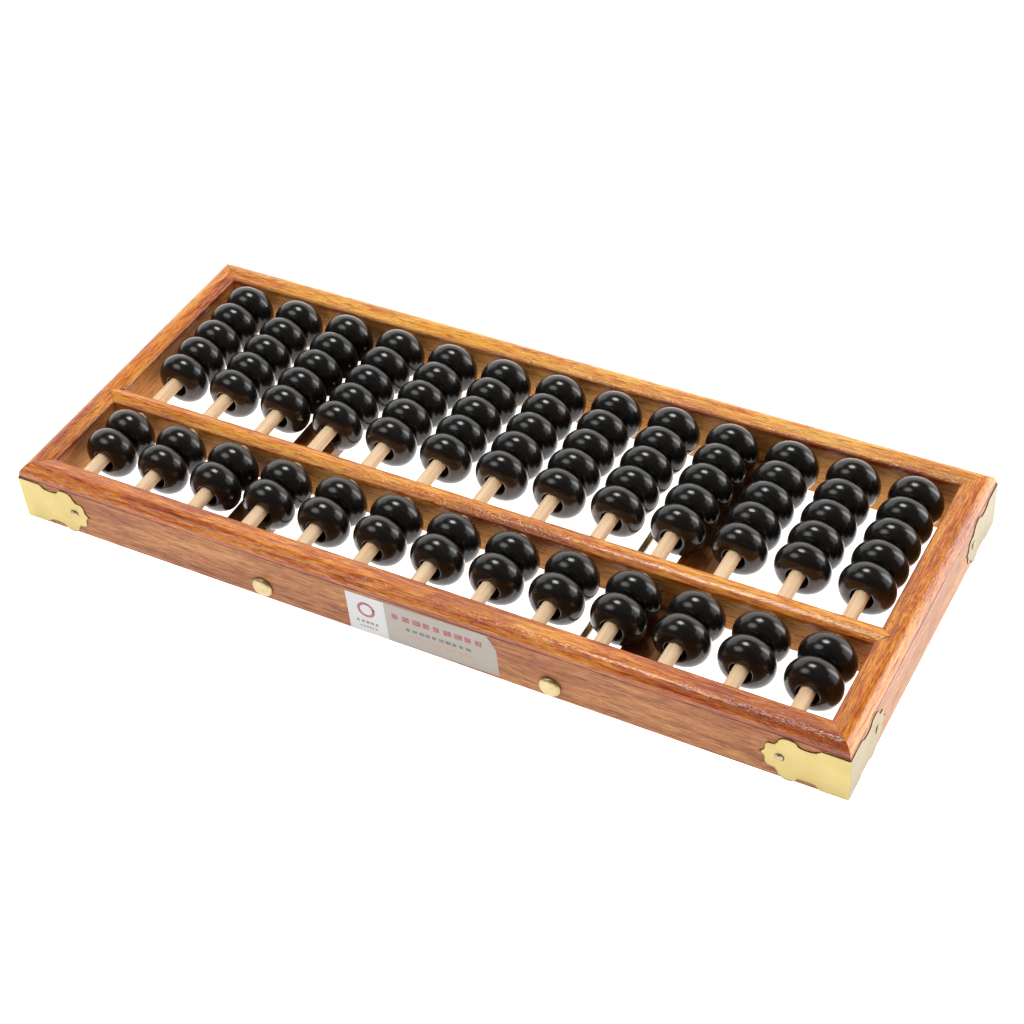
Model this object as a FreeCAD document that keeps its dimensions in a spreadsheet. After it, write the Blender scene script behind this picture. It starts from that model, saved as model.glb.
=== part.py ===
import FreeCAD, Part
import math
import os
import Sketcher

# A 13-column abacus with two beads above the divider beam and five below it.
# Millimetres. +X runs along the row of columns, -Y is the two-bead side, +Z is up.
# The origin is the centre of the footprint, on the surface that the frame lies on.

COLUMNS = 13
EARTH_BEADS = 5

DIMENSIONS = {
    # wooden frame
    "frame_length": 349.2,
    "frame_depth": 149.8,
    "rail_width": 11.2,
    "rail_height": 26.0,
    "arris_height": 21.4,
    "outer_round": 4.6,
    "crown_drop": 0.6,
    "inner_round": 1.6,
    "foot_chamfer": 0.6,
    # divider beam, its front face measured from the frame's front face
    "beam_front": 50.1,
    "beam_width": 8.5,
    "beam_bottom": 7.5,
    "beam_shoulder": 24.0,
    "beam_top": 26.0,
    # bead rods
    "rod_pitch": 25.0,
    "rod_diameter": 5.8,
    "rod_height": 20.3,
    "rod_socket": 7.0,
    "rod_fit": 0.1,
    # beads
    "bead_diameter": 22.0,
    "bead_thickness": 12.3,
    "bead_spacing": 12.5,
    "bead_hole": 8.8,
    "bead_hang": 0.05,
    "rest_gap": 2.7,
    # bottom slats
    "slat_offset": 85.7,
    "slat_width": 18.0,
    "slat_thickness": 6.0,
    "slat_top": 7.5,
    "slat_tenon": 4.0,
    # tie rods
    "tie_offset": 61.4,
    "tie_diameter": 2.8,
    "tie_height": 6.0,
    "tie_head": 7.2,
    "tie_head_rise": 2.0,
    "tie_thread": 1.1,
    # corner plates and their nails
    "plate_thickness": 0.4,
    "plate_middle": 10.6,
    "plate_arm": 33.0,
    "nail_inset": 25.4,
    "nail_head": 3.2,
    "nail_head_rise": 0.7,
    "nail_shank": 1.1,
    "nail_length": 7.0,
    # nails through the slats into the beam
    "brad_head": 2.6,
    "brad_head_rise": 0.5,
    "brad_shank": 1.4,
    "brad_length": 14.0,
    "brad_inset": 5.0,
    # foil label
    "label_left": -22.8,
    "label_width": 63.2,
    "label_height": 19.6,
    "label_bottom": 0.7,
    "label_cut_width": 3.6,
    "label_cut_height": 6.2,
    "label_thickness": 0.12,
    "label_tilt": 1.2,
}

# Places that several sub-parts share, as expressions on the sheet.
BEAM_FACE = "(dims.beam_front - dims.frame_depth / 2)"
BEAM_CENTRE = "(dims.beam_front + dims.beam_width / 2 - dims.frame_depth / 2)"
DECK_DEPTH = "(dims.frame_depth - 2 * dims.rail_width)"
FIRST_ROD = f"-dims.rod_pitch * {COLUMNS // 2}"
ROW_LENGTH = f"dims.rod_pitch * {COLUMNS - 1}"
ROD_HOLE = "dims.rod_diameter + dims.rod_fit"

# The scalloped edge of a corner plate, from its straight edge to its tip: the distance from the
# corner, the distance from the plate's middle line, and the radius of the arc to the next point,
# negative where the arc curves into the plate.
SCALLOPS = [
    (10.5, 10.0, -6.7),
    (18.6, 8.5, 4.4),
    (26.6, 7.2, -2.5),
    (29.8, 5.9, 4.0),
    (30.9, 2.6, -3.7),
]

doc = FreeCAD.newDocument("abacus")
sheet = doc.addObject("Spreadsheet::Sheet", "dims")
for row, (alias, number) in enumerate(DIMENSIONS.items(), start=1):
    sheet.set(f"A{row}", alias)
    sheet.set(f"B{row}", str(number))
    sheet.setAlias(f"B{row}", alias)
doc.recompute()

nodes = []


# --- helpers -------------------------------------------------------------------------------

def bind(thing, **expressions):
    """Bind properties to the sheet. A double underscore in a name stands for a dot."""
    for name, expression in expressions.items():
        thing.setExpression(name.replace("__", "."), expression)


def place(thing, x="0", y="0", z="0"):
    bind(thing, Placement__Base__x=x, Placement__Base__y=y, Placement__Base__z=z)


def turn(thing, angle):
    """Turn a sub-part about the vertical axis through the frame's centre."""
    thing.Placement.Rotation = FreeCAD.Rotation(FreeCAD.Vector(0, 0, 1), angle)


def node(kind, label):
    """A sub-part: its label names its file."""
    thing = doc.addObject(kind, label)
    thing.Label = label
    nodes.append(thing)
    return thing


def new_sketch(body, name, role, height="0"):
    """A sketch on one of the body's own origin planes, lifted along the plane's normal."""
    sketch = body.newObject("Sketcher::SketchObject", name)
    plane = next(item for item in body.Origin.OriginFeatures if item.Role == role)
    sketch.AttachmentSupport = [(plane, "")]
    sketch.MapMode = "FlatFace"
    bind(sketch, AttachmentOffset__Base__z=height)
    return sketch


def measure(sketch, expression):
    return float(sketch.evalExpression(expression))


def hold(sketch, kind, expression, *places):
    """Add a driving dimension that follows the sheet."""
    index = sketch.addConstraint(Sketcher.Constraint(kind, *places, measure(sketch, expression)))
    sketch.setExpression(f"Constraints[{index}]", expression)


def arc_between(start, end, radius):
    """The short arc from start to end: a positive radius bulges to the left of the way."""
    chord = end - start
    left = FreeCAD.Vector(-chord.y, chord.x, 0).normalize()
    rise = abs(radius) - math.sqrt(max(radius ** 2 - chord.Length ** 2 / 4, 0.0))
    return Part.Arc(start, (start + end) * 0.5 + left * math.copysign(rise, radius), end)


def outline(sketch, corners):
    """A closed loop of lines and arcs. A corner is x, y and, before an arc, the arc's radius."""
    points = [FreeCAD.Vector(measure(sketch, c[0]), measure(sketch, c[1]), 0) for c in corners]
    first = sketch.GeometryCount
    count = len(corners)
    begins = []
    for i, corner in enumerate(corners):
        start = points[i]
        end = points[(i + 1) % count]
        if len(corner) == 3:
            radius = measure(sketch, corner[2])
            sketch.addGeometry(arc_between(start, end, radius), False)
            begins.append(1 if radius < 0 else 2)
        else:
            sketch.addGeometry(Part.LineSegment(start, end), False)
            begins.append(1)
    for i, corner in enumerate(corners):
        following = (i + 1) % count
        sketch.addConstraint(Sketcher.Constraint(
            "Coincident", first + i, 3 - begins[i], first + following, begins[following]))
        for kind, expression in (("DistanceX", corner[0]), ("DistanceY", corner[1])):
            hold(sketch, kind, expression, -1, 1, first + i, begins[i])
        if len(corner) == 3:
            hold(sketch, "Radius", f"abs({corner[2]})", first + i)


def circle(sketch, x, y, diameter):
    centre = FreeCAD.Vector(measure(sketch, x), measure(sketch, y), 0)
    radius = measure(sketch, diameter) / 2
    index = sketch.addGeometry(Part.Circle(centre, FreeCAD.Vector(0, 0, 1), radius), False)
    hold(sketch, "DistanceX", x, -1, 1, index, 3)
    hold(sketch, "DistanceY", y, -1, 1, index, 3)
    hold(sketch, "Diameter", diameter, index)


def pad(body, sketch, length, centred=False, backwards=False):
    feature = body.newObject("PartDesign::Pad", "Pad")
    feature.Profile = sketch
    feature.SideType = "Symmetric" if centred else "One side"
    feature.Reversed = backwards
    bind(feature, Length=length)
    doc.recompute()
    return feature


def pocket(body, sketch, depth=None, against=False):
    """Cut along the plane's normal, or against it, to a depth or else right through both ways."""
    before = body.Shape.Volume
    feature = body.newObject("PartDesign::Pocket", "Pocket")
    feature.Profile = sketch
    feature.Reversed = not against
    if depth is None:
        feature.Type = "ThroughAll"
        feature.SideType = "Symmetric"
    else:
        bind(feature, Length=depth)
    doc.recompute()
    if body.Shape.Volume > before - 0.1:
        raise RuntimeError(f"{body.Label}: {sketch.Name} cut nothing")
    return feature


def repeat(body, feature, axis, length, count):
    """Repeat a feature along one of its sketch's axes."""
    pattern = body.newObject("PartDesign::LinearPattern", "LinearPattern")
    pattern.Originals = [feature]
    pattern.Direction = (feature.Profile[0], [axis])
    pattern.Occurrences = count
    bind(pattern, Length=length)
    body.Tip = pattern
    doc.recompute()
    return pattern


def revolve(body, sketch):
    feature = body.newObject("PartDesign::Revolution", "Revolution")
    feature.Profile = sketch
    feature.ReferenceAxis = (sketch, ["H_Axis"])
    feature.Angle = 360
    doc.recompute()
    return feature


# --- wooden frame --------------------------------------------------------------------------

def moulded_rail(label, length, depth, angle):
    """A rail along X whose outer face looks to -Y, moulded on top and mitred at both ends."""
    body = node("PartDesign::Body", label)
    outer = f"-{depth} / 2"
    inner = f"{outer} + dims.rail_width"
    profile = new_sketch(body, "Profile", "YZ_Plane")
    outline(profile, [
        (outer, "0"),
        (outer, "dims.arris_height", "dims.outer_round"),
        (f"{outer} + dims.outer_round", "dims.rail_height"),
        (f"{inner} - dims.inner_round", "dims.rail_height - dims.crown_drop", "dims.inner_round"),
        (inner, "dims.rail_height - dims.crown_drop - dims.inner_round"),
        (inner, "dims.foot_chamfer"),
        (f"{inner} - dims.foot_chamfer", "0"),
    ])
    pad(body, profile, length, centred=True)
    mitres = new_sketch(body, "Mitres", "XY_Plane")
    for side in ("", "-"):
        outline(mitres, [
            (f"{side}{length} / 2", outer),
            (f"{side}{length} / 2", inner),
            (f"{side}({length} / 2 - dims.rail_width)", inner),
        ])
    pocket(body, mitres)
    nails = new_sketch(body, "NailHoles", "XZ_Plane", f"{depth} / 2")
    for side in ("", "-"):
        circle(nails, f"{side}({length} / 2 - dims.nail_inset)", "dims.plate_middle", "dims.nail_shank")
    pocket(body, nails, "dims.nail_length", against=True)
    turn(body, angle)
    return body


def long_rail(label, angle):
    """The front rail, and turned round the back rail: sockets for rods, tie rods and slats."""
    body = moulded_rail(label, "dims.frame_length", "dims.frame_depth", angle)
    inner_face = "dims.frame_depth / 2 - dims.rail_width"
    sockets = new_sketch(body, "RodSocket", "XZ_Plane", inner_face)
    circle(sockets, FIRST_ROD, "dims.rod_height", ROD_HOLE)
    socket = pocket(body, sockets, "dims.rod_socket")
    repeat(body, socket, "H_Axis", ROW_LENGTH, COLUMNS)
    ties = new_sketch(body, "TieHoles", "XZ_Plane", inner_face)
    for side in ("", "-"):
        circle(ties, f"{side}dims.tie_offset", "dims.tie_height", "dims.tie_diameter + dims.rod_fit")
    pocket(body, ties)
    mortises = new_sketch(body, "SlatMortises", "XZ_Plane", inner_face)
    for side in ("", "-"):
        outline(mortises, slat_section(side))
    pocket(body, mortises, "dims.slat_tenon")


def slat_section(side):
    near = f"{side}(dims.slat_offset - dims.slat_width / 2)"
    far = f"{side}(dims.slat_offset + dims.slat_width / 2)"
    low = "dims.slat_top - dims.slat_thickness"
    return [(near, low), (far, low), (far, "dims.slat_top"), (near, "dims.slat_top")]


def end_rail(label, angle, beam_side):
    """A short rail with a V mortise that takes the pointed end of the divider beam."""
    body = moulded_rail(label, "dims.frame_depth", "dims.frame_length", angle)
    inner = "(dims.rail_width - dims.frame_length / 2)"
    centre = f"{beam_side}{BEAM_CENTRE}"
    mortise = new_sketch(body, "BeamMortise", "XY_Plane", "dims.beam_bottom")
    outline(mortise, [
        (f"{centre} - dims.beam_width / 2", inner),
        (centre, f"{inner} - dims.beam_width / 2"),
        (f"{centre} + dims.beam_width / 2", inner),
    ])
    pocket(body, mortise, "dims.rail_height")


def divider_beam():
    """The bar between the decks: rounded on top, pointed at both ends, drilled for the rods."""
    body = node("PartDesign::Body", "divider_beam")
    reach = "dims.frame_length - 2 * dims.rail_width"
    half = "dims.beam_width / 2"
    profile = new_sketch(body, "Profile", "YZ_Plane")
    crown = "((dims.beam_width / 2)^2 + (dims.beam_top - dims.beam_shoulder)^2)" \
        " / (2 * (dims.beam_top - dims.beam_shoulder))"
    outline(profile, [
        (f"-{half}", "dims.beam_bottom"),
        (f"-{half}", "dims.beam_shoulder", crown),
        (half, "dims.beam_shoulder"),
        (half, "dims.beam_bottom"),
    ])
    pad(body, profile, f"{reach} + dims.beam_width", centred=True)
    points = new_sketch(body, "PointedEnds", "XY_Plane")
    for side in ("", "-"):
        for edge in ("", "-"):
            outline(points, [
                (f"{side}({reach}) / 2", f"{edge}{half}"),
                (f"{side}({reach} + dims.beam_width) / 2", f"{edge}{half}"),
                (f"{side}({reach} + dims.beam_width) / 2", "0"),
            ])
    pocket(body, points)
    holes = new_sketch(body, "RodHole", "XZ_Plane")
    circle(holes, FIRST_ROD, "dims.rod_height", ROD_HOLE)
    hole = pocket(body, holes)
    repeat(body, hole, "H_Axis", ROW_LENGTH, COLUMNS)
    brads = new_sketch(body, "BradHoles", "XY_Plane", "dims.beam_bottom")
    for side in ("", "-"):
        for edge in ("+", "-"):
            circle(brads, f"{side}(dims.slat_offset {edge} dims.brad_inset)", "0", "dims.brad_shank")
    pocket(body, brads, "dims.slat_top - dims.slat_thickness + dims.brad_length - dims.beam_bottom")
    place(body, y=BEAM_CENTRE)


def slat(label, side):
    body = node("PartDesign::Body", label)
    section = new_sketch(body, "Section", "XZ_Plane")
    outline(section, slat_section(side))
    pad(body, section, f"{DECK_DEPTH} + 2 * dims.slat_tenon", centred=True)
    brads = new_sketch(body, "BradHoles", "XY_Plane")
    for edge in ("+", "-"):
        circle(brads, f"{side}(dims.slat_offset {edge} dims.brad_inset)", BEAM_CENTRE, "dims.brad_shank")
    pocket(body, brads)


# --- rods and beads ------------------------------------------------------------------------

def bead_rods():
    body = node("PartDesign::Body", "bead_rods")
    section = new_sketch(body, "Section", "XZ_Plane")
    circle(section, FIRST_ROD, "dims.rod_height", "dims.rod_diameter")
    rod = pad(body, section, f"{DECK_DEPTH} + 2 * dims.rod_socket - dims.rod_fit", centred=True)
    repeat(body, rod, "H_Axis", ROW_LENGTH, COLUMNS)


def beads(label, column, first, count):
    """One or more round beads with softened holes, hanging on a column's rod."""
    body = node("PartDesign::Body", label)
    centre = "(dims.bead_diameter - dims.bead_thickness) / 2"
    half = "dims.bead_thickness / 2"
    mouth = f"({centre} - dims.bead_hole / 2)"
    profile = new_sketch(body, "Profile", "YZ_Plane")
    outline(profile, [
        (f"-{half}", centre, half),
        ("0", "dims.bead_diameter / 2", half),
        (half, centre, mouth),
        (f"{half} - {mouth}", "dims.bead_hole / 2"),
        (f"{mouth} - {half}", "dims.bead_hole / 2", mouth),
    ])
    bead = revolve(body, profile)
    if count > 1:
        repeat(body, bead, "H_Axis", f"dims.bead_spacing * {count - 1}", count)
    place(
        body,
        x=f"dims.rod_pitch * {column - COLUMNS // 2}",
        y=first,
        z="dims.rod_height + dims.rod_diameter / 2 - dims.bead_hole / 2 + dims.bead_hang",
    )


# --- metal parts ---------------------------------------------------------------------------

def dome(name, diameter, rise):
    """A flat-bottomed cap of a sphere, standing on the XY plane."""
    radius = f"(({diameter})^2 / 4 + ({rise})^2) / (2 * {rise})"
    cap = doc.addObject("Part::Sphere", name)
    bind(cap, Radius=radius, Angle1=f"asin(({radius} - {rise}) / ({radius}))")
    place(cap, z=f"{rise} - ({radius})")
    return cap


def domed_pin(make, name, head, rise, shank, length):
    """A pin along Z: its head stands on the XY plane and its shank runs down from there."""
    stem = doc.addObject("Part::Cylinder", name + "_stem")
    bind(stem, Radius=f"{shank} / 2", Height=length)
    place(stem, z=f"-({length})")
    pin = make("Part::Fuse", name)
    pin.Base = dome(name + "_head", head, rise)
    pin.Tool = stem
    return pin


def aim(thing, direction):
    """Turn a pin so that its head looks in a direction."""
    thing.Placement.Rotation = FreeCAD.Rotation(FreeCAD.Vector(0, 0, 1), FreeCAD.Vector(*direction))


def tie_rod(label, side):
    """A long brass pin from the front face, through both rails, into its nut behind."""
    rod = domed_pin(node, label, "dims.tie_head", "dims.tie_head_rise",
                    "dims.tie_diameter", "dims.frame_depth + dims.tie_thread")
    aim(rod, (0, -1, 0))
    place(rod, f"{side}dims.tie_offset", "-dims.frame_depth / 2", "dims.tie_height")


def tie_rod_nuts():
    """The two domed nuts on the back face, each with a blind hole for its rod."""
    nuts = []
    for side in ("-", ""):
        hole = doc.addObject("Part::Cylinder", "nut_hole")
        bind(hole, Radius="(dims.tie_diameter + dims.rod_fit) / 2", Height="dims.tie_thread + dims.rod_fit")
        nut = doc.addObject("Part::Cut", "nut")
        nut.Base = dome("nut_dome", "dims.tie_head", "dims.tie_head_rise")
        nut.Tool = hole
        aim(nut, (0, 1, 0))
        place(nut, f"{side}dims.tie_offset", "dims.frame_depth / 2", "dims.tie_height")
        nuts.append(nut)
    node("Part::Compound", "tie_rod_nuts").Links = nuts


def plate_outline(sketch, along, curl):
    """The outline of a plate's arm. along gives the place that lies a distance from the corner."""
    middle = "dims.plate_middle"
    upper = [(along(d), f"{middle} + {rise}", str(curl * radius)) for d, rise, radius in SCALLOPS]
    tip = along("dims.plate_arm")
    lower = [(tip, middle, str(curl * SCALLOPS[-1][2]))]
    for (d, rise, _), (_, _, radius) in zip(SCALLOPS[:0:-1], SCALLOPS[-2::-1]):
        lower.append((along(d), f"{middle} - {rise}", str(curl * radius)))
    d, rise, _ = SCALLOPS[0]
    lower.append((along(d), f"{middle} - {rise}"))
    edge = along("-dims.plate_thickness")
    outline(sketch, upper + lower + [(edge, f"{middle} - {rise}"), (edge, f"{middle} + {rise}")])
    circle(sketch, along("dims.nail_inset"), middle, "dims.nail_shank")


def corner_plate(label, side, angle):
    """A scalloped brass sheet folded round a front corner, or turned round a back one."""
    body = node("PartDesign::Body", label)
    sign = 1 if side == "" else -1
    front = new_sketch(body, "FrontArm", "XZ_Plane", "dims.frame_depth / 2")
    plate_outline(front, lambda d: f"{side}(dims.frame_length / 2 - ({d}))", -sign)
    pad(body, front, "dims.plate_thickness")
    end = new_sketch(body, "EndArm", "YZ_Plane", f"{side}dims.frame_length / 2")
    plate_outline(end, lambda d: f"({d}) - dims.frame_depth / 2", 1)
    pad(body, end, "dims.plate_thickness", backwards=sign < 0)
    turn(body, angle)


def corner_nails():
    """Eight round-head nails, one in each arm of each corner plate."""
    across = "(dims.frame_length / 2 - dims.nail_inset)"
    face = "(dims.frame_depth / 2 + dims.plate_thickness)"
    deep = "(dims.frame_depth / 2 - dims.nail_inset)"
    end = "(dims.frame_length / 2 + dims.plate_thickness)"
    nails = []
    for x_side in (-1, 1):
        for y_side in (-1, 1):
            for direction, x, y in (((0, y_side, 0), across, face), ((x_side, 0, 0), end, deep)):
                nail = domed_pin(doc.addObject, "nail", "dims.nail_head", "dims.nail_head_rise",
                                 "dims.nail_shank", "dims.nail_length")
                aim(nail, direction)
                place(nail, f"{x_side} * {x}", f"{y_side} * {y}", "dims.plate_middle")
                nails.append(nail)
    node("Part::Compound", "corner_nails").Links = nails


def beam_nails():
    """Four nails driven up through the slats into the divider beam."""
    nails = []
    for side in ("-", ""):
        for edge in ("+", "-"):
            nail = domed_pin(doc.addObject, "brad", "dims.brad_head", "dims.brad_head_rise",
                             "dims.brad_shank", "dims.brad_length")
            aim(nail, (0, 0, -1))
            place(nail, f"{side}(dims.slat_offset {edge} dims.brad_inset)", BEAM_CENTRE,
                  "dims.slat_top - dims.slat_thickness")
            nails.append(nail)
    node("Part::Compound", "beam_nails").Links = nails


# --- label ---------------------------------------------------------------------------------

def label_plate():
    """A thin foil label with its upper right corner cut off, stuck on slightly askew."""
    body = node("PartDesign::Body", "label_plate")
    right = "dims.label_left + dims.label_width"
    top = "dims.label_bottom + dims.label_height"
    outline_sketch = new_sketch(body, "Outline", "XZ_Plane", "dims.frame_depth / 2")
    outline(outline_sketch, [
        ("dims.label_left", "dims.label_bottom"),
        (right, "dims.label_bottom"),
        (right, f"{top} - dims.label_cut_height"),
        (f"{right} - dims.label_cut_width", top),
        ("dims.label_left", top),
    ])
    pad(body, outline_sketch, "dims.label_thickness")
    bind(body, Placement__Rotation__Angle="dims.label_tilt")
    body.Placement.Rotation = FreeCAD.Rotation(FreeCAD.Vector(0, -1, 0), DIMENSIONS["label_tilt"])


# --- assembly ------------------------------------------------------------------------------

long_rail("front_rail", 0)
long_rail("back_rail", 180)
end_rail("left_end_rail", -90, "-")
end_rail("right_end_rail", 90, "")
divider_beam()
slat("left_slat", "-")
slat("right_slat", "")
beam_nails()
bead_rods()
tie_rod("left_tie_rod", "-")
tie_rod("right_tie_rod", "")
tie_rod_nuts()
corner_plate("front_left_corner_plate", "-", 0)
corner_plate("front_right_corner_plate", "", 0)
corner_plate("back_left_corner_plate", "", 180)
corner_plate("back_right_corner_plate", "-", 180)
corner_nails()
label_plate()

half_bead = "dims.bead_thickness / 2"
inner_bead = f"{BEAM_FACE} - dims.rest_gap - {half_bead}"
last_bead = f"dims.frame_depth / 2 - dims.rail_width - dims.rest_gap - {half_bead}"
for column in range(COLUMNS):
    name = f"column_{column + 1:02d}"
    beads(f"{name}_upper_inner_bead", column, inner_bead, 1)
    beads(f"{name}_upper_outer_bead", column, f"{inner_bead} - dims.bead_spacing", 1)
    beads(f"{name}_lower_beads", column, f"{last_bead} - dims.bead_spacing * {EARTH_BEADS - 1}", EARTH_BEADS)

doc.recompute()
failed = [item.Name for item in doc.Objects if {"Invalid", "Error"} & set(item.State)]
failed += [part.Label for part in nodes if part.Shape.isNull() or not part.Shape.isValid()]
if failed:
    raise RuntimeError(f"These failed: {failed}")

os.makedirs("parts", exist_ok=True)
for part in nodes:
    part.Shape.exportStep(f"parts/{part.Label}.step")
    box = part.Shape.BoundBox
    print(f"{part.Label}: {len(part.Shape.Solids)} solids, {part.Shape.Volume:.1f} mm3, "
          f"X {box.XMin:.2f} {box.XMax:.2f}, Y {box.YMin:.2f} {box.YMax:.2f}, "
          f"Z {box.ZMin:.2f} {box.ZMax:.2f}")
print(len(nodes), "nodes")
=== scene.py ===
import math
import random

import bmesh
import bpy
from mathutils import Matrix, Vector, noise
from mathutils.geometry import delaunay_2d_cdt


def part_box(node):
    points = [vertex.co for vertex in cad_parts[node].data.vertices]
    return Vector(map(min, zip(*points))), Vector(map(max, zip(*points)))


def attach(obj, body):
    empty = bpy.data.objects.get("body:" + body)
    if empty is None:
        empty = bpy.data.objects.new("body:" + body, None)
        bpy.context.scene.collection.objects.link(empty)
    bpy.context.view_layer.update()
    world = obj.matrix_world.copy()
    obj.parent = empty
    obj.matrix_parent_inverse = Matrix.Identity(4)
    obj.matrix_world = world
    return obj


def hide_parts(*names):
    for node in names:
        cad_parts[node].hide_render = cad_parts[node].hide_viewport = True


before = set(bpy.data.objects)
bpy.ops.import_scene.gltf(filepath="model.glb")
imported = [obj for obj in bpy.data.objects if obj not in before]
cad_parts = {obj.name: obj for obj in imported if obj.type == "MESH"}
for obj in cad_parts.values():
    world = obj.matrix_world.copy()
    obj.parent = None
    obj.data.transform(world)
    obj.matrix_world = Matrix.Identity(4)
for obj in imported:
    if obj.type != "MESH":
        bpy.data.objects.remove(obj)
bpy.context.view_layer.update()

MM = 0.001
ROOT = "frame"
COLUMNS = [f"column_{number:02d}" for number in range(1, 14)]
EARTH_BEADS = 5

# --- sizes taken from the frame ---

FRONT_LOW, FRONT_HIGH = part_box("front_rail")
BEAM_LOW, BEAM_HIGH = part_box("divider_beam")
RODS_LOW, RODS_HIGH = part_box("bead_rods")
HALF_LENGTH = FRONT_HIGH.x
HALF_DEPTH = -FRONT_LOW.y
RAIL_WIDTH = FRONT_HIGH.y - FRONT_LOW.y
RAIL_HEIGHT = FRONT_HIGH.z
BEAM_WIDTH = BEAM_HIGH.y - BEAM_LOW.y
BEAM_CENTRE = (BEAM_HIGH.y + BEAM_LOW.y) / 2
ROD_RADIUS = (RODS_HIGH.z - RODS_LOW.z) / 2
ROD_HEIGHT = (RODS_HIGH.z + RODS_LOW.z) / 2
ROD_PLACES = [sum((corner.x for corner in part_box(f"{name}_upper_inner_bead")), 0.0) / 2 for name in COLUMNS]

# --- sizes of the details ---

ARRIS_HEIGHT = 21.4 * MM        # where the rail's outer face meets the moulding
ARRIS_LEDGE = 0.22 * MM
OUTER_ROUND = 4.6 * MM
CROWN_DROP = 0.6 * MM
CROWN_SWELL = 0.12 * MM
LACQUER_EDGE = 1.6 * MM         # how far the lacquer fades down the inner face
INNER_ROUND = 1.6 * MM
FOOT_ROUND = 0.5 * MM
JOINT_GAP = 0.05 * MM
ROD_CLEARANCE = 0.12 * MM
TENON_PLAY = 0.08 * MM
BEAM_PLAY = 0.12 * MM
OVERCUT = 2 * MM                # how far a cutter reaches past the wood
HAND_WORK = 0.05 * MM           # how far hand-sanded wood strays from true

TIE_RADIUS = 1.4 * MM
TIE_HEAD = 8.8 * MM
BEAD_HOLE = 8.8 * MM
BEAD_THICKNESS = 12.3 * MM
BEAD_TILT = 0.3                 # degrees

PLATE_THICKNESS = 0.4 * MM
PLATE_SKIN = 0.4                # how far a plate's face stands proud of the wood, in mm
PLATE_ARM = 33.0                # the plate's own sizes are in mm, unfolded
PLATE_HOLE = 0.55
PLATE_FOLD = 0.55               # radius of the fold
FOLD_STEP = 0.16
PLATE_DENTS = 0.05
NAIL_DISH = 0.16                # how deep the sheet is dished round a nail
NAIL_INSET_MM = 25.4
NAIL_INSET = NAIL_INSET_MM * MM
NAIL_HEAD = 3.2 * MM
NAIL_SHADOW_RING = 1.75                # radius of the painted shadow ring round a nail head, in mm
BRAD_INSET = 5.0 * MM
# From the plate's straight edge to its tip: distance from the corner, distance from the middle
# line, and radius of the arc to the next point, negative where the arc curves into the plate.
SCALLOPS = [
    (10.5, 10.0, -6.7),
    (18.6, 8.5, 4.4),
    (26.6, 7.2, -2.5),
    (29.8, 5.9, 4.0),
    (30.9, 2.6, -3.7),
]

LABEL_LEFT = -22.8 * MM
LABEL_WIDTH = 63.2 * MM
LABEL_HEIGHT = 19.6 * MM
LABEL_BOTTOM = 0.7 * MM
LABEL_PANEL = 16.6 * MM         # width of the white panel
LABEL_CUT = (3.6 * MM, 6.2 * MM)
LABEL_THICKNESS = 0.12 * MM
LABEL_TILT = 1.2                # degrees
RING_RADII = (2.6 * MM, 3.8 * MM)
RING_HEIGHT = 12.4 * MM         # from the label's lower edge to the ring's centre
RING_SIDES = 40

WOOD_LAYERS = ("moulding", "rim", "inside")
BAR_STEP = 1.4 * MM             # length of one step along a rail or the beam
ROUND_SIDES = 40                # sides of dowels, drills and tie rods
SMOOTH_ANGLE = math.radians(35)

# --- studio ---

FLOOR_GLOW = 1.1
SWEEP_TOP = 0.67                # sine of the elevation where the white sweep ends
SWEEP_GLOW = 1.2
ROOM_GLOW = 0.07
CAMERA_PLACE = (0.3213, -0.5135, 0.5648)
CAMERA_TURN = (47.04, 3.82, 28.00)
LENS = 74.15
EXPOSURE = 0.27                 # stops


# --- mesh helpers ---

def link(name, mesh, material, smooth_angle=SMOOTH_ANGLE):
    """A new object of the mesh, shaded smooth up to an angle."""
    mesh.materials.append(material)
    mesh.shade_smooth()
    mesh.set_sharp_from_angle(angle=smooth_angle)
    piece = bpy.data.objects.new(name, mesh)
    bpy.context.scene.collection.objects.link(piece)
    return piece


def to_mesh(name, bm):
    """A mesh made of the bmesh, which is used up."""
    mesh = bpy.data.meshes.new(name)
    bm.to_mesh(mesh)
    bm.free()
    return mesh


def from_bmesh(name, bm, material, smooth_angle=SMOOTH_ANGLE):
    """A new object of a closed bmesh, with its normals turned outwards."""
    bmesh.ops.recalc_face_normals(bm, faces=bm.faces)
    return link(name, to_mesh(name, bm), material, smooth_angle)


def finish_piece(piece, body, slot, *nodes):
    """The piece takes the place of CAD nodes and rides on their body. slot is not used."""
    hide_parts(*nodes)
    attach(piece, body)


def apply_modifiers(piece):
    """Replace the mesh with what its modifiers make of it."""
    depsgraph = bpy.context.evaluated_depsgraph_get()
    made = bpy.data.meshes.new_from_object(piece.evaluated_get(depsgraph), depsgraph=depsgraph)
    piece.modifiers.clear()
    piece.data = made


def arc(centre, radius, start, end, steps):
    """Points on an arc, from one angle in degrees to another, both ends included."""
    angles = [math.radians(start + (end - start) * i / steps) for i in range(steps + 1)]
    return [(centre[0] + radius * math.cos(a), centre[1] + radius * math.sin(a)) for a in angles]


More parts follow.
